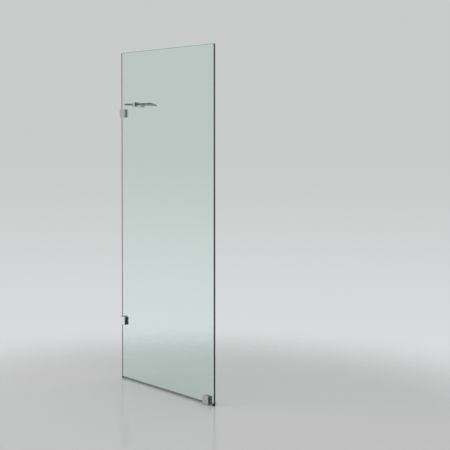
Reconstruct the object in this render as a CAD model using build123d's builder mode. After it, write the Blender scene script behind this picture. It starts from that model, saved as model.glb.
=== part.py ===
from build123d import *
import math
import os

os.makedirs("parts", exist_ok=True)

# A fixed, frameless shower screen: one glass pane square to a wall, two square clamps on
# the wall and one on the floor, and a three-cornered glass shelf clipped into the corner.
# Millimetres. +X runs along the pane from the wall to the free edge, +Y goes into the
# shower and +Z is up. The origin is on the floor, midway between the floor clamp's holes.

# Glass pane
pane_width = 900.0
pane_height = 1990.0
pane_thickness = 12.0
pane_corner_radius = 3.0
pane_arris = 1.0
wall_gap = 4.0
floor_gap = 10.0

# Setting blocks under the two ends of the pane, and the seal that closes the joint between them
block_length = 12.0
block_corner_radius = 1.0
seal_inset = 1.0

# Clamps, three of a kind. The wall's two are set from the pane's top and bottom edges, and
# the floor's one from its free edge, each to the clamp's middle.
clamp_size = 50.0
top_clamp_drop = 369.0
low_clamp_rise = 349.0
floor_clamp_inset = 62.0
plate_thickness = 11.0
plate_standoff = 1.0
plate_bevel_width = 1.5
plate_bevel_height = 1.2
plate_skin = 2.5
gasket_thickness = 1.0
gasket_margin = 1.5
jaw_thickness = 12.0
jaw_corner_radius = 2.0
leg_thickness = 6.0
leg_reach = 20.0
leg_root_radius = 3.0
leg_end_radius = 1.5
bracket_easing = 0.8

# Screw that draws a clamp together, and its bush in the glass
clamp_screw_in = 30.0
clamp_screw_diameter = 8.0
clamp_head_diameter = 15.8
clamp_head_recess = 1.5
clamp_hex_size = 5.0
clamp_hex_depth = 3.0
clamp_bush_wall = 2.8

# Holes in each clamp's leg for the wall's or floor's own screws
leg_hole_diameter = 5.5
leg_hole_spacing = 28.0
leg_hole_out = 10.0
leg_sink_diameter = 10.4

# Corner shelf, just above the top clamp
shelf_along_pane = 285.0
shelf_along_wall = 250.0
shelf_thickness = 10.0
shelf_above_clamp = 24.0
shelf_corner_radius = 10.0
shelf_tip_radius = 8.0
shelf_arris = 0.8
shelf_standoff = 8.0

# Shelf clips, two of a kind
clip_along = 136.0
clip_width = 24.0
clip_upper_jaw = 6.0
clip_lower_jaw = 10.0
clip_slot_depth = 13.0
clip_edge_play = 1.0
clip_nose_radius = 2.0
clip_easing = 0.6
pad_thickness = 1.0
pad_margin = 1.0
grub_diameter = 5.0
grub_recess = 1.0
grub_hex_size = 2.5
grub_hex_depth = 3.0

# Cap, washers, screw and bush that hold one clip through the pane
cap_thickness = 6.0
cap_bevel_width = 1.5
cap_bevel_height = 1.2
cap_skin = 1.4
washer_thickness = 1.0
washer_margin = 1.0
clip_screw_diameter = 5.0
clip_head_diameter = 9.2
clip_head_recess = 0.2
clip_hex_size = 3.0
clip_hex_depth = 1.6
clip_bush_wall = 3.0

# Fits, and the shape of every screw's head and socket
thread_clearance = 0.1
shank_clearance = 0.25
bush_clearance = 0.4
screw_tip_gap = 1.0
sink_angle = 90.0
socket_sides = 6

# Places and depths that follow from the sizes above
top_clamp_height = floor_gap + pane_height - top_clamp_drop
low_clamp_height = floor_gap + low_clamp_rise
shelf_height = top_clamp_height + clamp_size / 2 + shelf_above_clamp
jaw_front = pane_thickness + gasket_thickness
jaw_back = jaw_front + jaw_thickness
leg_end = jaw_back + leg_reach
wall_x = floor_clamp_inset - pane_width - wall_gap
free_x = floor_clamp_inset
outer_y = -(jaw_back + leg_hole_out)
inner_y = outer_y + pane_thickness
clip_seat_y = inner_y + washer_thickness
clip_base = shelf_standoff - clip_edge_play
clip_depth = clip_base + clip_slot_depth
clip_slot = shelf_thickness + 2 * pad_thickness
clip_top = clip_slot / 2 + clip_upper_jaw
clip_bottom = -clip_slot / 2 - clip_lower_jaw
shelf_x = wall_x + shelf_standoff
shelf_y = clip_seat_y + shelf_standoff
shelf_middle = shelf_height + shelf_thickness / 2
clip_x = shelf_x + clip_along
clip_y = shelf_y + clip_along

# The planes of the pane and the clamps lie on the pane's outer face, with z out of the
# shower. A clamp's x leads away from the wall or floor that carries it.
outward = (0, -1, 0)
pane_plane = Plane(origin=(wall_x, outer_y, 0), x_dir=(1, 0, 0), z_dir=outward)
top_seat = Plane(origin=(wall_x, outer_y, top_clamp_height), x_dir=(1, 0, 0), z_dir=outward)
low_seat = Plane(origin=(wall_x, outer_y, low_clamp_height), x_dir=(1, 0, 0), z_dir=outward)
floor_seat = Plane(origin=(0, outer_y, 0), x_dir=(0, 0, 1), z_dir=outward)

# A clip's plane lies on the wall or washer behind it, level with the middle of the shelf's
# glass. Its y is up and its z leads into the shelf.
wall_clip_seat = Plane(origin=(wall_x, clip_y, shelf_middle), x_dir=(0, 1, 0), z_dir=(1, 0, 0))
pane_clip_seat = Plane(origin=(clip_x, clip_seat_y, shelf_middle), x_dir=(-1, 0, 0), z_dir=(0, 1, 0))
cap_seat = Plane(origin=(clip_x, outer_y, shelf_middle), x_dir=(1, 0, 0), z_dir=outward)


def keep(piece, name):
    """Labels a finished piece and writes its file."""
    piece.part.label = name
    export_step(piece.part, f"parts/{name}.step")


def moved(plane, x, y, z, z_dir=None):
    """A plane set off by distances along its own axes, and turned to face z_dir if given."""
    origin = plane.from_local_coords((x, y, z))
    if z_dir is None:
        return Plane(origin=origin, x_dir=plane.x_dir, z_dir=plane.z_dir)
    return Plane(origin=origin, z_dir=z_dir)


def bush_hole_radius(screw_diameter, bush_wall):
    """The radius of the hole in the glass that a screw's bush sits in."""
    return screw_diameter / 2 + shank_clearance + bush_wall + bush_clearance


def make_plate(plane, corners, thickness, bevel_width, bevel_height, screw_diameter, skin):
    """A plate with a bevelled face, and a blind threaded hole in its back at the plane's origin."""
    (x_low, y_low), (x_high, y_high) = corners
    middle = ((x_low + x_high) / 2, (y_low + y_high) / 2)
    bevel_slope = math.degrees(math.atan2(bevel_width, bevel_height))
    with BuildPart() as plate:
        with BuildSketch(plane):
            with Locations(middle):
                Rectangle(x_high - x_low, y_high - y_low)
        extrude(amount=thickness - bevel_height)
        with BuildSketch(plane.offset(thickness - bevel_height)):
            with Locations(middle):
                Rectangle(x_high - x_low, y_high - y_low)
        extrude(amount=bevel_height, taper=bevel_slope)
        with BuildSketch(plane):
            Circle(screw_diameter / 2 + thread_clearance)
        extrude(amount=thickness - skin, mode=Mode.SUBTRACT)
    return plate


def make_pad(plane, corners, margin, thickness, screw_diameter):
    """A flat gasket or washer, a margin smaller than its plate, with a hole at the plane's origin."""
    (x_low, y_low), (x_high, y_high) = corners
    with BuildPart() as pad:
        with BuildSketch(plane):
            with Locations(((x_low + x_high) / 2, (y_low + y_high) / 2)):
                Rectangle(x_high - x_low - 2 * margin, y_high - y_low - 2 * margin)
            Circle(screw_diameter / 2 + shank_clearance, mode=Mode.SUBTRACT)
        extrude(amount=thickness)
    return pad


def make_bush(plane, screw_diameter, bush_wall):
    """A tube through the glass that keeps a screw off it, from the outer face inwards."""
    bore = screw_diameter / 2 + shank_clearance
    with BuildPart() as bush:
        with BuildSketch(plane):
            Circle(bore + bush_wall)
            Circle(bore, mode=Mode.SUBTRACT)
        extrude(amount=-pane_thickness)
    return bush


def make_sunk_screw(top, diameter, head_diameter, length, hex_size, hex_depth):
    """A countersunk screw: its flat top is on the plane and its shank runs back from it."""
    head_height = (head_diameter - diameter) / 2 / math.tan(math.radians(sink_angle / 2))
    with BuildPart() as screw:
        with BuildSketch(top.offset(-length)):
            Circle(diameter / 2)
        extrude(amount=length - head_height)
        with BuildSketch(top.offset(-head_height)):
            Circle(diameter / 2)
        with BuildSketch(top):
            Circle(head_diameter / 2)
        loft()
        with BuildSketch(top):
            RegularPolygon(hex_size / 2, socket_sides, major_radius=False)
        extrude(amount=-hex_depth, mode=Mode.SUBTRACT)
    return screw


def make_bracket(seat):
    """A clamp's rear part: the jaw behind the glass and the leg that stands on the wall or floor."""
    profile = Plane(origin=seat.origin, x_dir=seat.x_dir, z_dir=seat.y_dir)
    leg_hole_back = jaw_back + leg_hole_out
    half_spacing = leg_hole_spacing / 2
    with BuildPart() as bracket:
        with BuildSketch(profile) as ell:
            with BuildLine():
                Polyline(
                    (0, jaw_front),
                    (clamp_size, jaw_front),
                    (clamp_size, jaw_back),
                    (leg_thickness, jaw_back),
                    (leg_thickness, leg_end),
                    (0, leg_end),
                    close=True,
                )
            make_face()
            root = ell.vertices().sort_by_distance((leg_thickness, jaw_back))[0]
            fillet(root, leg_root_radius)
            jaw_corner = ell.vertices().sort_by_distance((clamp_size, jaw_back))[0]
            fillet(jaw_corner, jaw_corner_radius)
            leg_corner = ell.vertices().sort_by_distance((leg_thickness, leg_end))[0]
            fillet(leg_corner, leg_end_radius)
        extrude(amount=clamp_size / 2, both=True)
        sides = bracket.faces().sort_by(Axis(seat.origin, seat.y_dir))
        chamfer(sides[0].edges() + sides[-1].edges(), bracket_easing)
        with Locations(moved(seat, clamp_screw_in, 0, clamp_head_recess - jaw_back, -seat.z_dir)):
            CounterSinkHole(
                clamp_screw_diameter / 2 + shank_clearance,
                clamp_head_diameter / 2 + shank_clearance,
                counter_sink_angle=sink_angle,
            )
        for side in (-half_spacing, half_spacing):
            with Locations(moved(seat, leg_thickness, side, -leg_hole_back, seat.x_dir)):
                CounterSinkHole(
                    leg_hole_diameter / 2, leg_sink_diameter / 2, counter_sink_angle=sink_angle
                )
    return bracket


def make_clamp(seat, name):
    """One clamp: plate, gaskets, bracket, bush and screw, stacked on the same screw axis."""
    axis = moved(seat, clamp_screw_in, 0, 0)
    corners = (
        (plate_standoff - clamp_screw_in, -clamp_size / 2),
        (clamp_size - clamp_screw_in, clamp_size / 2),
    )
    keep(
        make_plate(
            axis.offset(gasket_thickness), corners, plate_thickness,
            plate_bevel_width, plate_bevel_height, clamp_screw_diameter, plate_skin,
        ),
        f"{name}_front_plate",
    )
    for side, depth in (("front", 0), ("rear", jaw_front)):
        gasket = make_pad(
            axis.offset(-depth), corners, gasket_margin, gasket_thickness, clamp_screw_diameter
        )
        keep(gasket, f"{name}_{side}_gasket")
    keep(make_bush(axis, clamp_screw_diameter, clamp_bush_wall), f"{name}_bush")
    keep(make_bracket(seat), f"{name}_rear_bracket")
    head_top = jaw_back - clamp_head_recess
    grip = gasket_thickness + plate_thickness - plate_skin - screw_tip_gap
    screw = make_sunk_screw(
        moved(axis, 0, 0, -head_top, -seat.z_dir),
        clamp_screw_diameter, clamp_head_diameter, head_top + grip, clamp_hex_size, clamp_hex_depth,
    )
    keep(screw, f"{name}_clamp_screw")


def make_clip(seat, name):
    """One shelf clip: the slotted body, a pad on each side of the glass and the grub screw below."""
    profile = Plane(origin=seat.origin, x_dir=seat.z_dir, z_dir=-seat.x_dir)
    pad_middle = clip_base + clip_slot_depth / 2
    half_slot = clip_slot / 2
    with BuildPart() as body:
        with BuildSketch(profile) as jaws:
            with BuildLine():
                Polyline(
                    (0, clip_bottom),
                    (clip_depth, clip_bottom),
                    (clip_depth, -half_slot),
                    (clip_base, -half_slot),
                    (clip_base, half_slot),
                    (clip_depth, half_slot),
                    (clip_depth, clip_top),
                    (0, clip_top),
                    close=True,
                )
            make_face()
            for nose in ((clip_depth, clip_bottom), (clip_depth, clip_top)):
                fillet(jaws.vertices().sort_by_distance(nose)[0], clip_nose_radius)
        extrude(amount=clip_width / 2, both=True)
        sides = body.faces().sort_by(Axis(seat.origin, seat.x_dir))
        chamfer(sides[0].edges() + sides[-1].edges(), clip_easing)
        with Locations(moved(seat, 0, 0, clip_base - clip_head_recess)):
            CounterSinkHole(
                clip_screw_diameter / 2 + shank_clearance,
                clip_head_diameter / 2 + shank_clearance,
                depth=clip_base,
                counter_sink_angle=sink_angle,
            )
        with Locations(moved(seat, 0, clip_bottom, pad_middle, -seat.y_dir)):
            Hole(grub_diameter / 2 + thread_clearance, depth=clip_lower_jaw)
    keep(body, f"{name}_body")

    pad_width = clip_width - 2 * pad_margin
    pad_length = clip_slot_depth - 2 * pad_margin
    for level, low in (("upper", shelf_thickness / 2), ("lower", -half_slot)):
        pad_foot = Plane(
            origin=seat.from_local_coords((0, low, pad_middle)), x_dir=seat.x_dir, z_dir=seat.y_dir
        )
        with BuildPart() as pad:
            with BuildSketch(pad_foot):
                Rectangle(pad_width, pad_length)
            extrude(amount=pad_thickness)
        keep(pad, f"{name}_{level}_pad")

    with BuildPart() as grub:
        foot = moved(seat, 0, clip_bottom + grub_recess, pad_middle, seat.y_dir)
        with BuildSketch(foot):
            Circle(grub_diameter / 2)
        extrude(amount=clip_lower_jaw - grub_recess)
        with BuildSketch(foot):
            RegularPolygon(grub_hex_size / 2, socket_sides, major_radius=False)
        extrude(amount=grub_hex_depth, mode=Mode.SUBTRACT)
    keep(grub, f"{name}_grub_screw")


# The pane, with a hole for each clamp and one for the shelf's clip
clamp_hole = bush_hole_radius(clamp_screw_diameter, clamp_bush_wall)
clip_hole = bush_hole_radius(clip_screw_diameter, clip_bush_wall)
with BuildPart() as glass_pane:
    with BuildSketch(pane_plane):
        with Locations((wall_gap + pane_width / 2, floor_gap + pane_height / 2)):
            RectangleRounded(pane_width, pane_height, pane_corner_radius)
        with Locations(
            (clamp_screw_in, top_clamp_height),
            (clamp_screw_in, low_clamp_height),
            (-wall_x, clamp_screw_in),
        ):
            Circle(clamp_hole, mode=Mode.SUBTRACT)
        with Locations((clip_x - wall_x, shelf_middle)):
            Circle(clip_hole, mode=Mode.SUBTRACT)
    extrude(amount=-pane_thickness)
    pane_faces = glass_pane.faces().sort_by(Axis.Y)
    chamfer(pane_faces[0].edges() + pane_faces[-1].edges(), pane_arris)
keep(glass_pane, "glass_pane")

# The blocks that carry the pane's weight, one under each end
block_places = {
    "wall_end_setting_block": wall_x + wall_gap + block_length / 2,
    "free_end_setting_block": free_x - block_length / 2,
}
for name, middle in block_places.items():
    with BuildPart() as block:
        with BuildSketch(Plane.XY):
            with Locations((middle, outer_y + pane_thickness / 2)):
                RectangleRounded(block_length, pane_thickness, block_corner_radius)
        extrude(amount=floor_gap)
    keep(block, name)

# The seal in the joint between the blocks, set back a little from the faces of the glass
with BuildPart() as joint_seal:
    with BuildSketch(Plane.XY):
        with Locations((wall_x + wall_gap + pane_width / 2, outer_y + pane_thickness / 2)):
            Rectangle(pane_width - 2 * block_length, pane_thickness - 2 * seal_inset)
    extrude(amount=floor_gap)
keep(joint_seal, "joint_seal")

for seat, name in ((top_seat, "top"), (low_seat, "low"), (floor_seat, "floor")):
    make_clamp(seat, name)

# The shelf, a right-angled triangle with rounded corners
with BuildPart() as corner_shelf:
    with BuildSketch(Plane(origin=(shelf_x, shelf_y, shelf_height))) as outline:
        with BuildLine():
            Polyline((0, 0), (shelf_along_pane, 0), (0, shelf_along_wall), close=True)
        make_face()
        fillet(outline.vertices().sort_by_distance((0, 0))[0], shelf_corner_radius)
        for tip in ((shelf_along_pane, 0), (0, shelf_along_wall)):
            fillet(outline.vertices().sort_by_distance(tip)[0], shelf_tip_radius)
    extrude(amount=shelf_thickness)
    shelf_faces = corner_shelf.faces().sort_by(Axis.Z)
    chamfer(shelf_faces[0].edges() + shelf_faces[-1].edges(), shelf_arris)
keep(corner_shelf, "corner_shelf")

make_clip(wall_clip_seat, "wall_clip")
make_clip(pane_clip_seat, "pane_clip")

# What holds the pane's clip: a cap on the outer face, screwed to through the glass
cap_corners = ((-clip_width / 2, clip_bottom), (clip_width / 2, clip_top))
cap = make_plate(
    cap_seat.offset(washer_thickness), cap_corners, cap_thickness,
    cap_bevel_width, cap_bevel_height, clip_screw_diameter, cap_skin,
)
keep(cap, "pane_clip_cap")
for side, depth in (("outer", 0), ("inner", pane_thickness + washer_thickness)):
    washer = make_pad(
        cap_seat.offset(-depth), cap_corners, washer_margin, washer_thickness, clip_screw_diameter
    )
    keep(washer, f"pane_clip_{side}_washer")
keep(make_bush(cap_seat, clip_screw_diameter, clip_bush_wall), "pane_clip_bush")
clip_head_top = clip_base - clip_head_recess
clip_screw_length = (
    clip_head_top + 2 * washer_thickness + pane_thickness + cap_thickness - cap_skin - screw_tip_gap
)
clip_screw = make_sunk_screw(
    pane_clip_seat.offset(clip_head_top), clip_screw_diameter, clip_head_diameter,
    clip_screw_length, clip_hex_size, clip_hex_depth,
)
keep(clip_screw, "pane_clip_screw")
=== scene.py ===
import bmesh
import bpy
import math
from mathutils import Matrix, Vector


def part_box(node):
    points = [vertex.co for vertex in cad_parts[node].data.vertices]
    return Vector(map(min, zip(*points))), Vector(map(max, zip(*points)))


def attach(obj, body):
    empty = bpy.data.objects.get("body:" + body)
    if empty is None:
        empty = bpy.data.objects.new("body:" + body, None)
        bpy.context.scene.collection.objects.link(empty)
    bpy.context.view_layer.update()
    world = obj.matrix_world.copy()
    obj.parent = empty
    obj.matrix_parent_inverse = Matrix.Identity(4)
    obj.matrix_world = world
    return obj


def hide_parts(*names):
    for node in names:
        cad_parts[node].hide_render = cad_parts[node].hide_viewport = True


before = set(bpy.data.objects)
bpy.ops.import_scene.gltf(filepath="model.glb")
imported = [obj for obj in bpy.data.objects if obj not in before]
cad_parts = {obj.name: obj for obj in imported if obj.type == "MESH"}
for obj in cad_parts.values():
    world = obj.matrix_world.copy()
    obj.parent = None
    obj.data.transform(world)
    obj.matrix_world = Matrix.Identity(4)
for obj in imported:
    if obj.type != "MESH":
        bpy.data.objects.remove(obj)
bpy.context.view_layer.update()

# The camera
# A long lens a little under eye height, from outside the screen and past its free edge. Its
# picture is moved down, and the camera itself looks almost level, so upright edges stay upright.
camera_place = (4.5796, -3.6875, 1.4972)
camera_pitch = math.radians(88.5)
camera_turn = math.radians(50.433)

camera = bpy.data.objects.new("camera", bpy.data.cameras.new("camera"))
bpy.context.collection.objects.link(camera)
camera.location = camera_place
camera.rotation_euler = (camera_pitch, 0, camera_turn)
camera.data.sensor_width = 36.0
camera.data.lens = 84.70
camera.data.shift_y = -0.1378
camera.data.clip_end = 100.0
bpy.context.scene.camera = camera
bpy.context.scene.view_settings.view_transform = "Standard"

# The floor
# A round sheet of pale polished tile that fades out into the background, so that it has no
# edge. Seen in metal and glass from one side, its colour is painted near black and its shine
# taken away: a painted dark reflection, to go with a dark side of the background.
floor_middle = Vector((0.15, -0.34, 0.0))
floor_radius = 3.0
floor_fade = (1.3, 2.7)
floor_sides = 128
floor_colour = (0.61, 0.61, 0.61, 1)
# Painted dark reflection: the tile's colour where metal and glass mirror it from one side, then that
# side's bearing and soft edges in degrees
floor_painted_reflection_colour = (0.02, 0.02, 0.02, 1)
floor_painted_reflection_side = (34.0, 14.0, 34.0)


def new_material(name):
    """An empty node material. Gives it, its node tree and its output node."""
    material = bpy.data.materials.new(name)
    material.use_nodes = True
    tree = material.node_tree
    tree.nodes.clear()
    return material, tree, tree.nodes.new("ShaderNodeOutputMaterial")


def add_node(tree, kind, inputs=None, **settings):
    """A new node with its settings, and a value or a link for each input, by name or number."""
    node = tree.nodes.new("ShaderNode" + kind)
    for name, value in settings.items():
        setattr(node, name, value)
    for socket, value in (inputs or {}).items():
        if isinstance(value, bpy.types.NodeSocket):
            tree.links.new(value, node.inputs[socket])
        else:
            node.inputs[socket].default_value = value
    return node


def spread(tree, value, from_low, from_high, to_low=0.0, to_high=1.0, smooth=True):
    """Turns one range of a value into another, with soft ends unless smooth is False."""
    return add_node(
        tree, "MapRange",
        {
            "Value": value, "From Min": from_low, "From Max": from_high,
            "To Min": to_low, "To Max": to_high,
        },
        interpolation_type="SMOOTHSTEP" if smooth else "LINEAR",
    ).outputs["Result"]


tile, tree, output = new_material("pale tile")
place = add_node(tree, "TexCoord").outputs["Object"]
cloud = add_node(tree, "TexNoise", {"Vector": place, "Scale": 1.4, "Detail": 3.0}).outputs["Fac"]
rays = add_node(tree, "LightPath")
mirrored = add_node(tree, "Math", {0: rays.outputs["Glossy Depth"], 1: 0.5}, operation="GREATER_THAN")
azimuth, inner, outer = (math.radians(angle) for angle in floor_painted_reflection_side)
looked_from = (-math.cos(azimuth), -math.sin(azimuth), 0.0)
incoming = add_node(tree, "NewGeometry").outputs["Incoming"]
facing = add_node(tree, "VectorMath", {0: incoming, 1: looked_from}, operation="DOT_PRODUCT")
# Painted reflection: for a mirrored ray from the dark side, the tile's colour turns near black and loses
# its shine
painted_reflection_share = add_node(
    tree, "Math",
    {
        0: mirrored.outputs[0],
        1: spread(tree, facing.outputs["Value"], math.cos(outer), math.cos(inner)),
    },
    operation="MULTIPLY",
)
tile_and_painted_reflection_colour = add_node(
    tree, "Mix", {0: painted_reflection_share.outputs[0], 6: floor_colour, 7: floor_painted_reflection_colour}, data_type="RGBA"
)
tile_face = add_node(
    tree, "BsdfPrincipled",
    {
        "Base Color": tile_and_painted_reflection_colour.outputs[2],
        "Roughness": spread(tree, cloud, 0.3, 0.7, 0.10, 0.18),
        "Specular IOR Level": spread(tree, painted_reflection_share.outputs[0], 0.0, 1.0, 0.5, 0.0, smooth=False),
    },
)
gone = add_node(tree, "BsdfTransparent")
away = add_node(tree, "VectorMath", {0: place, 1: floor_middle}, operation="DISTANCE")
faded = add_node(
    tree, "MixShader",
    {0: spread(tree, away.outputs["Value"], *floor_fade), 1: tile_face.outputs[0], 2: gone.outputs[0]},
)
tree.links.new(faded.outputs[0], output.inputs["Surface"])

shape = bmesh.new()
bmesh.ops.create_circle(shape, cap_ends=True, segments=floor_sides, radius=floor_radius)
bmesh.ops.translate(shape, verts=shape.verts, vec=floor_middle)
floor_mesh = bpy.data.meshes.new("floor")
shape.to_mesh(floor_mesh)
shape.free()
floor_mesh.materials.append(tile)
floor = bpy.data.objects.new("floor", floor_mesh)
bpy.context.collection.objects.link(floor)

# The background and the light
# A plain pale background, a little darker towards the top. Metal and glass mirror it too, with
# a pale side and three dark sides, as in a photographer's tent, but not the soft lamps behind
# it. Slopes are sines.
background_high = (0.590, 0.595, 0.595, 1)
background_low = (0.700, 0.705, 0.715, 1)
background_slopes = (-0.20, -0.01)
sky_strength = 0.50
pale_side = (216.0, 14.0, 34.0, (0.02, -0.15), 0.50)
dark_sides = (
    (34.0, 14.0, 34.0, (0.05, -0.12), 0.94),
    (128.0, 12.0, 30.0, (0.35, 0.05), 0.60),
    (326.0, 12.0, 30.0, (0.35, 0.05), 0.75),
)
lamps = (
    ((-2.4, -3.0, 4.2), 2.4, 84.0),
    ((4.2, -1.2, 3.4), 1.8, 42.0),
    ((-0.6, 3.6, 3.4), 2.0, 48.0),
)
lamps_look_at = Vector((-0.39, 0.1, 0.95))

world = bpy.data.worlds.new("studio")
bpy.context.scene.world = world
world.use_nodes = True
tree = world.node_tree
tree.nodes.clear()
towards = add_node(tree, "TexCoord").outputs["Generated"]
slope = add_node(tree, "SeparateXYZ", {0: towards}).outputs["Z"]
background = add_node(
    tree, "Mix",
    {0: spread(tree, slope, *background_slopes), 6: background_low, 7: background_high},
    data_type="RGBA",
)


def side_share(tree, azimuth, inner, outer, slopes):
    """1 in the middle of one side of the background and below its lower slope, and 0 elsewhere."""
    turn = math.radians(azimuth)
    middle = (math.cos(turn), math.sin(turn), 0.0)
    cosine = add_node(tree, "VectorMath", {0: towards, 1: middle}, operation="DOT_PRODUCT")
    edge, full = math.cos(math.radians(outer)), math.cos(math.radians(inner))
    across = spread(tree, cosine.outputs["Value"], edge, full)
    below = spread(tree, slope, slopes[0], slopes[1])
    return add_node(tree, "Math", {0: across, 1: below}, operation="MULTIPLY").outputs[0]


azimuth, inner, outer, slopes, gain = pale_side
level = add_node(
    tree, "Math",
    {0: side_share(tree, azimuth, inner, outer, slopes), 1: gain, 2: 1.0},
    operation="MULTIPLY_ADD",
).outputs[0]
for azimuth, inner, outer, slopes, loss in dark_sides:
    kept = add_node(
        tree, "Math",
        {0: side_share(tree, azimuth, inner, outer, slopes), 1: -loss, 2: 1.0},
        operation="MULTIPLY_ADD",
    )
    level = add_node(tree, "Math", {0: level, 1: kept.outputs[0]}, operation="MULTIPLY").outputs[0]

rays = add_node(tree, "LightPath")
mirrored = add_node(tree, "Math", {0: rays.outputs["Glossy Depth"], 1: 0.5}, operation="GREATER_THAN")
level = add_node(
    tree, "Mix", {0: mirrored.outputs[0], 2: 1.0, 3: level}, data_type="FLOAT"
).outputs[0]
shown = add_node(tree, "Background", {"Color": background.outputs[2], "Strength": level})
sky = add_node(tree, "Background", {"Color": (1.0, 1.0, 1.0, 1), "Strength": sky_strength})
straight = add_node(
    tree, "Math",
    {0: rays.outputs["Is Camera Ray"], 1: rays.outputs["Is Glossy Ray"]},
    operation="ADD",
)
seen = add_node(
    tree, "Math",
    {0: straight.outputs[0], 1: rays.outputs["Is Transmission Ray"]},
    operation="ADD", use_clamp=True,
)
both = add_node(tree, "MixShader", {0: seen.outputs[0], 1: sky.outputs[0], 2: shown.outputs[0]})
add_node(tree, "OutputWorld", {"Surface": both.outputs[0]})

for number, (lamp_place, width, power) in enumerate(lamps):
    light = bpy.data.lights.new(f"lamp {number + 1}", "AREA")
    light.shape = "DISK"
    light.size = width
    light.energy = power
    lamp = bpy.data.objects.new(light.name, light)
    bpy.context.collection.objects.link(lamp)
    lamp.location = lamp_place
    lamp.rotation_euler = (Vector(lamp_place) - lamps_look_at).to_track_quat("Z", "Y").to_euler()
    lamp.visible_camera = False
    lamp.visible_glossy = False
    lamp.visible_transmission = False

# The pane
# One sheet of clear toughened glass, 12 mm thick and slightly green. Its edges are ground flat,
# polished and eased, and look dark because so much glass lies behind them.
glass_tint = (0.845, 0.952, 0.918, 1)
glass_shadow = (0.87, 0.93, 0.91, 1)
glass_index = 1.52
pane_edge_colours = ((0.062, 0.070, 0.075, 1), (0.092, 0.103, 0.108, 1))
pane_arris_colour = (0.11, 0.125, 0.13, 1)
merge_reach = 0.000001
flat_within = math.radians(1.0)
smooth_within = math.radians(30.0)
pane_streaks = (300.0, 300.0, 12.0)
least_for_side, most_for_edge = 0.9, 0.3


def new_effect(name, inputs, outputs):
    """A node group for an effect. Inputs are names with values, and outputs are names."""
    group = bpy.data.node_groups.new(name, "ShaderNodeTree")
    group.interface.new_socket("Place", in_out="INPUT", socket_type="NodeSocketVector")
    for socket, value in inputs.items():
        made = group.interface.new_socket(socket, in_out="INPUT", socket_type="NodeSocketFloat")
        made.default_value = value
    for socket in outputs:
        group.interface.new_socket(socket, in_out="OUTPUT", socket_type="NodeSocketFloat")
    start = group.nodes.new("NodeGroupInput").outputs
    return group, start, group.nodes.new("NodeGroupOutput").inputs


def use_effect(tree, group, place, **values):
    """Places an effect in a material, with the names of its inputs in small letters."""
    node = tree.nodes.new("ShaderNodeGroup")
    node.node_tree = group
    tree.links.new(place, node.inputs["Place"])
    for name, value in values.items():
        node.inputs[name.replace("_", " ").capitalize()].default_value = value
    return node.outputs


# Dried water: small round marks in patches, where drops have run and stood
water_marks, start, end = new_effect(
    "water marks", {"Spots per metre": 160.0, "Amount": 1.0}, ("Mask",)
)
drops = add_node(
    water_marks, "TexVoronoi",
    {"Vector": start["Place"], "Scale": start["Spots per metre"], "Randomness": 1.0},
)
drop = spread(water_marks, drops.outputs["Distance"], 0.10, 0.32, 1.0, 0.0)
patch = add_node(water_marks, "TexNoise", {"Vector": start["Place"], "Scale": 7.0, "Detail": 3.0})
wet = spread(water_marks, patch.outputs["Fac"], 0.45, 0.70)
marked = add_node(water_marks, "Math", {0: drop, 1: wet}, operation="MULTIPLY")
marked = add_node(
    water_marks, "Math", {0: marked.outputs[0], 1: start["Amount"]}, operation="MULTIPLY"
)
water_marks.links.new(marked.outputs[0], end["Mask"])


def make_clear_glass(name):
    """The face of a glass sheet: tinted, with faint water marks, and open to the lamps' light."""
    material, tree, output = new_material(name)
    place = add_node(tree, "TexCoord").outputs["Object"]
    marks = use_effect(tree, water_marks, place, spots_per_metre=170.0, amount=1.0)["Mask"]
    ripple = add_node(tree, "TexNoise", {"Vector": place, "Scale": 5.0, "Detail": 1.0})
    waved = add_node(
        tree, "Bump", {"Height": ripple.outputs["Fac"], "Strength": 0.25, "Distance": 0.0004}
    )
    sheet = add_node(
        tree, "BsdfPrincipled",
        {
            "Base Color": glass_tint, "IOR": glass_index, "Transmission Weight": 1.0,
            "Roughness": spread(tree, marks, 0.0, 1.0, 0.0, 0.05),
            "Normal": waved.outputs["Normal"],
        },
    )
    open_glass = add_node(tree, "BsdfTransparent", {"Color": glass_shadow})
    rays = add_node(tree, "LightPath")
    surface = add_node(
        tree, "MixShader",
        {0: rays.outputs["Is Shadow Ray"], 1: sheet.outputs[0], 2: open_glass.outputs[0]},
    )
    tree.links.new(surface.outputs[0], output.inputs["Surface"])
    return material


def make_glass_edge(name, colours, roughness, streaks):
    """A ground edge: dark for its depth, with faint lines left by the polishing wheel."""
    material, tree, output = new_material(name)
    place = add_node(tree, "TexCoord").outputs["Object"]
    drawn = add_node(tree, "Mapping", {"Vector": place, "Scale": streaks}).outputs[0]
    lines = add_node(tree, "TexNoise", {"Vector": drawn, "Scale": 1.0, "Detail": 4.0}).outputs["Fac"]
    tone = add_node(
        tree, "Mix",
        {0: spread(tree, lines, 0.3, 0.7), 6: colours[0], 7: colours[1]},
        data_type="RGBA",
    )
    edge = add_node(
        tree, "BsdfPrincipled",
        {
            "Base Color": tone.outputs[2], "IOR": glass_index,
            "Roughness": spread(tree, lines, 0.2, 0.8, roughness * 0.8, roughness * 1.3),
        },
    )
    tree.links.new(edge.outputs[0], output.inputs["Surface"])
    return material


def merged_shape(node):
    """A bmesh of a CAD node's own shape, its loose triangles merged."""
    shape = bmesh.new()
    shape.from_mesh(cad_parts[node].data)
    bmesh.ops.remove_doubles(shape, verts=shape.verts, dist=merge_reach)
    return shape


def add_piece(shape, name, materials, node):
    """A finished piece made of a bmesh, in place of the CAD node whose room it fills."""
    mesh = bpy.data.meshes.new(name)
    shape.to_mesh(mesh)
    shape.free()
    for material in materials:
        mesh.materials.append(material)
    mesh.attributes.remove(mesh.attributes["custom_normal"])
    mesh.shade_smooth()
    mesh.set_sharp_from_angle(angle=smooth_within)
    piece = bpy.data.objects.new(name, mesh)
    bpy.context.collection.objects.link(piece)
    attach(piece, "root")
    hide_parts(node)
    return piece


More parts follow.
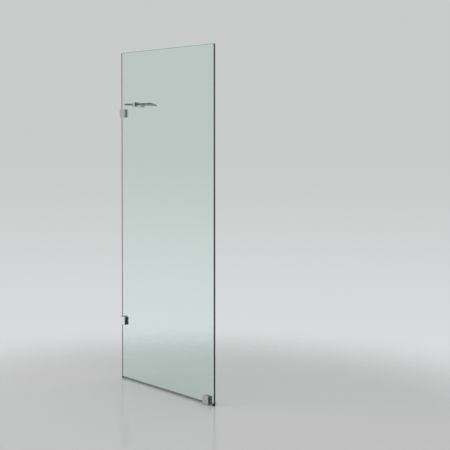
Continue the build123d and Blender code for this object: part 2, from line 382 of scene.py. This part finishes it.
def sheet_faces(shape, across):
    """Marks a sheet's faces: 0 for its two clear sides, 1 for its edges and 2 for their arris."""
    for face in shape.faces:
        square_on = abs(face.normal[across])
        if square_on > least_for_side:
            face.material_index = 0
        elif square_on < most_for_edge:
            face.material_index = 1
        else:
            face.material_index = 2


clear_glass = make_clear_glass("clear glass")
pane_edge = make_glass_edge("pane edge", pane_edge_colours, 0.16, pane_streaks)
pane_arris = make_glass_edge(
    "pane arris", (pane_arris_colour, pane_arris_colour), 0.35, pane_streaks
)
shape = merged_shape("glass_pane")
sheet_faces(shape, across=1)
add_piece(shape, "toughened_pane", (clear_glass, pane_edge, pane_arris), "glass_pane")

# The setting blocks and the seal
# Two blocks of hard black rubber carry the pane's weight, one under each end. Between them a
# strip of dark grey silicone closes the joint to the floor, set back from the glass's faces.
block_colours = ((0.012, 0.012, 0.013, 1), (0.030, 0.030, 0.032, 1))
block_edge_radius = 0.0004
seal_colours = ((0.27, 0.27, 0.275, 1), (0.35, 0.35, 0.355, 1))
seal_edge_radius = 0.0006


def make_rubber(name, colours, grain, roughness):
    """Moulded rubber: fine grain, and a little dust that makes it uneven."""
    material, tree, output = new_material(name)
    place = add_node(tree, "TexCoord").outputs["Object"]
    grains = add_node(tree, "TexNoise", {"Vector": place, "Scale": grain, "Detail": 4.0})
    dust = add_node(tree, "TexNoise", {"Vector": place, "Scale": grain * 0.08, "Detail": 3.0})
    tone = add_node(
        tree, "Mix",
        {0: spread(tree, dust.outputs["Fac"], 0.35, 0.75), 6: colours[0], 7: colours[1]},
        data_type="RGBA",
    )
    rough = add_node(
        tree, "Bump", {"Height": grains.outputs["Fac"], "Strength": 0.4, "Distance": 0.0001}
    )
    skin = add_node(
        tree, "BsdfPrincipled",
        {
            "Base Color": tone.outputs[2],
            "Roughness": spread(tree, grains.outputs["Fac"], 0.3, 0.7, roughness - 0.1, roughness + 0.1),
            "Normal": rough.outputs["Normal"],
        },
    )
    tree.links.new(skin.outputs[0], output.inputs["Surface"])
    return material


def whole_shape(node):
    """A merged shape with the triangles of each flat side joined, so that its edges can be rounded."""
    shape = merged_shape(node)
    bmesh.ops.dissolve_limit(shape, angle_limit=flat_within, verts=shape.verts, edges=shape.edges)
    return shape


def round_edges(piece, radius):
    """Rounds a piece's sharp edges, which catch the light as the real ones do."""
    bevel = piece.modifiers.new("rounded edges", "BEVEL")
    bevel.width = radius
    bevel.segments = 2
    bevel.limit_method = "ANGLE"
    bevel.angle_limit = smooth_within
    bevel.harden_normals = True


block_rubber = make_rubber("block rubber", block_colours, 1500.0, 0.7)
for end in ("wall_end", "free_end"):
    node = f"{end}_setting_block"
    block = add_piece(whole_shape(node), f"{end}_rubber_block", [block_rubber], node)
    round_edges(block, block_edge_radius)
seal_silicone = make_rubber("seal silicone", seal_colours, 500.0, 0.5)
seal = add_piece(
    whole_shape("joint_seal"), "joint_silicone_seal", [seal_silicone], "joint_seal"
)
round_edges(seal, seal_edge_radius)

# The clamps
# Each has a bevelled front plate and a rear bracket, both brass with polished chrome. A steel
# screw draws them together on the glass, with rubber gaskets and a nylon bush between.
chrome_colour = (0.64, 0.645, 0.65, 1)
gasket_colours = ((0.055, 0.055, 0.060, 1), (0.085, 0.085, 0.090, 1))
steel_colours = ((0.42, 0.42, 0.42, 1), (0.56, 0.56, 0.55, 1))
nylon_colours = ((0.80, 0.80, 0.77, 1), (0.86, 0.86, 0.83, 1))
plate_edge_radius = 0.0003
bracket_edge_radius = 0.0003
rubber_edge_radius = 0.0002
screw_edge_radius = 0.0001
rubber_gap = 0.00002
scratch_turns = (0.5, -1.1)

# Polishing: hairline scratches in two directions, and the soft smears that a cloth leaves
polishing, start, end = new_effect("polishing", {"Scratches per metre": 2500.0}, ("Scratch", "Smear"))
crossed = None
for turn in scratch_turns:
    drawn = add_node(
        polishing, "Mapping",
        {"Vector": start["Place"], "Rotation": (turn, turn, turn), "Scale": (1.0, 0.03, 1.0)},
    )
    hair = add_node(
        polishing, "TexNoise",
        {"Vector": drawn.outputs[0], "Scale": start["Scratches per metre"], "Detail": 2.0},
    )
    line = spread(polishing, hair.outputs["Fac"], 0.62, 0.72)
    if crossed is None:
        crossed = line
    else:
        crossed = add_node(polishing, "Math", {0: crossed, 1: line}, operation="MAXIMUM").outputs[0]
polishing.links.new(crossed, end["Scratch"])
smear = add_node(polishing, "TexNoise", {"Vector": start["Place"], "Scale": 45.0, "Detail": 3.0})
polishing.links.new(spread(polishing, smear.outputs["Fac"], 0.35, 0.75), end["Smear"])


def make_chrome():
    """Polished chrome with hairlines, a cloth's smears and a few dried drops."""
    material, tree, output = new_material("polished chrome")
    place = add_node(tree, "TexCoord").outputs["Object"]
    wiped = use_effect(tree, polishing, place, scratches_per_metre=2500.0)
    spots = use_effect(tree, water_marks, place, spots_per_metre=260.0, amount=0.7)["Mask"]
    haze = spread(tree, wiped["Smear"], 0.0, 1.0, 0.045, 0.095)
    haze = add_node(tree, "Math", {0: spots, 1: 0.12, 2: haze}, operation="MULTIPLY_ADD").outputs[0]
    haze = add_node(tree, "Math", {0: wiped["Scratch"], 1: 0.05, 2: haze}, operation="MULTIPLY_ADD")
    hairline = add_node(
        tree, "Bump", {"Height": wiped["Scratch"], "Strength": 0.15, "Distance": 0.00001}
    )
    metal = add_node(
        tree, "BsdfPrincipled",
        {
            "Base Color": chrome_colour, "Metallic": 1.0, "Roughness": haze.outputs[0],
            "Normal": hairline.outputs["Normal"],
        },
    )
    tree.links.new(metal.outputs[0], output.inputs["Surface"])
    return material


def make_turned_steel(name, middle, axis):
    """Stainless steel with the rings that a lathe leaves round the screw's own axis."""
    material, tree, output = new_material(name)
    place = add_node(tree, "TexCoord").outputs["Object"]
    moved = add_node(tree, "Mapping", {"Vector": place, "Location": middle}, vector_type="TEXTURE")
    flat = [0.0 if index == axis else 1.0 for index in range(3)]
    flattened = add_node(tree, "VectorMath", {0: moved.outputs[0], 1: flat}, operation="MULTIPLY")
    away = add_node(tree, "VectorMath", {0: flattened.outputs[0]}, operation="LENGTH")
    ring = add_node(tree, "CombineXYZ", {0: away.outputs["Value"]})
    rings = add_node(tree, "TexNoise", {"Vector": ring.outputs[0], "Scale": 6000.0, "Detail": 2.0})
    tone = add_node(
        tree, "Mix",
        {0: spread(tree, rings.outputs["Fac"], 0.3, 0.7), 6: steel_colours[0], 7: steel_colours[1]},
        data_type="RGBA",
    )
    cut = add_node(
        tree, "Bump", {"Height": rings.outputs["Fac"], "Strength": 0.3, "Distance": 0.00002}
    )
    metal = add_node(
        tree, "BsdfPrincipled",
        {
            "Base Color": tone.outputs[2], "Metallic": 1.0,
            "Roughness": spread(tree, rings.outputs["Fac"], 0.3, 0.7, 0.22, 0.34),
            "Normal": cut.outputs["Normal"],
        },
    )
    tree.links.new(metal.outputs[0], output.inputs["Surface"])
    return material


def make_nylon():
    """Natural nylon: milky, with a satin skin."""
    material, tree, output = new_material("white nylon")
    place = add_node(tree, "TexCoord").outputs["Object"]
    milk = add_node(tree, "TexNoise", {"Vector": place, "Scale": 300.0, "Detail": 3.0}).outputs["Fac"]
    tone = add_node(
        tree, "Mix",
        {0: spread(tree, milk, 0.3, 0.7), 6: nylon_colours[0], 7: nylon_colours[1]},
        data_type="RGBA",
    )
    skin = add_node(
        tree, "BsdfPrincipled",
        {"Base Color": tone.outputs[2], "Roughness": spread(tree, milk, 0.3, 0.7, 0.34, 0.46)},
    )
    tree.links.new(skin.outputs[0], output.inputs["Surface"])
    return material


def add_rubber_pad(node, name, across):
    """A gasket, washer or pad, a hair thinner than the gap it fills, so that no two faces meet."""
    shape = whole_shape(node)
    low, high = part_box(node)
    thickness = high[across] - low[across]
    size = Vector((1.0, 1.0, 1.0))
    size[across] = (thickness - 2 * rubber_gap) / thickness
    middle = (low + high) / 2
    bmesh.ops.translate(shape, verts=shape.verts, vec=-middle)
    bmesh.ops.scale(shape, verts=shape.verts, vec=size)
    bmesh.ops.translate(shape, verts=shape.verts, vec=middle)
    pad = add_piece(shape, name, [gasket_rubber], node)
    round_edges(pad, rubber_edge_radius)


def add_screw(node, name, axis):
    """A screw with its own rings, and its rims just broken."""
    low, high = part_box(node)
    steel = make_turned_steel(f"steel of {name}", (low + high) / 2, axis)
    screw = add_piece(whole_shape(node), name, [steel], node)
    round_edges(screw, screw_edge_radius)


chrome = make_chrome()
gasket_rubber = make_rubber("gasket rubber", gasket_colours, 2500.0, 0.65)
nylon = make_nylon()
for clamp in ("top", "low", "floor"):
    plate = add_piece(
        whole_shape(f"{clamp}_front_plate"), f"{clamp}_chrome_plate",
        [chrome], f"{clamp}_front_plate",
    )
    round_edges(plate, plate_edge_radius)
    bracket = add_piece(
        whole_shape(f"{clamp}_rear_bracket"), f"{clamp}_chrome_bracket",
        [chrome], f"{clamp}_rear_bracket",
    )
    round_edges(bracket, bracket_edge_radius)
    for side in ("front", "rear"):
        add_rubber_pad(f"{clamp}_{side}_gasket", f"{clamp}_{side}_rubber", across=1)
    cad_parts[f"{clamp}_bush"].material_slots[0].material = nylon
    add_screw(f"{clamp}_clamp_screw", f"{clamp}_steel_screw", axis=1)

# The shelf
# A three-cornered sheet of 10 mm clear glass with polished, eased edges and round corners. It
# rests in the two clips. Looking into its edge shows the glass's own green.
shelf_edge_colours = ((0.018, 0.070, 0.050, 1), (0.036, 0.115, 0.088, 1))
shelf_arris_colour = (0.09, 0.22, 0.175, 1)
shelf_streaks = (60.0, 60.0, 400.0)

shelf_edge = make_glass_edge("shelf edge", shelf_edge_colours, 0.10, shelf_streaks)
shelf_arris = make_glass_edge(
    "shelf arris", (shelf_arris_colour, shelf_arris_colour), 0.30, shelf_streaks
)
shape = merged_shape("corner_shelf")
sheet_faces(shape, across=2)
add_piece(shape, "shelf_glass", (clear_glass, shelf_edge, shelf_arris), "corner_shelf")

# The shelf's clips
# Two slotted chrome bodies grip the shelf between rubber pads, and a grub screw under each
# presses the lower pad up. One is screwed to the wall, the other through the pane to its cap.
for clip, axis in (("wall_clip", 0), ("pane_clip", 1)):
    body = add_piece(
        whole_shape(f"{clip}_body"), f"{clip}_chrome_body",
        [chrome], f"{clip}_body",
    )
    round_edges(body, bracket_edge_radius)
    for level in ("upper", "lower"):
        add_rubber_pad(f"{clip}_{level}_pad", f"{clip}_{level}_rubber", across=2)
    add_screw(f"{clip}_grub_screw", f"{clip}_steel_grub", axis=2)
cap = add_piece(
    whole_shape("pane_clip_cap"), "pane_clip_chrome_cap",
    [chrome], "pane_clip_cap",
)
round_edges(cap, bracket_edge_radius)
for side in ("outer", "inner"):
    add_rubber_pad(f"pane_clip_{side}_washer", f"pane_clip_{side}_rubber", across=1)
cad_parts["pane_clip_bush"].material_slots[0].material = nylon
add_screw("pane_clip_screw", "pane_clip_steel_screw", axis=1)
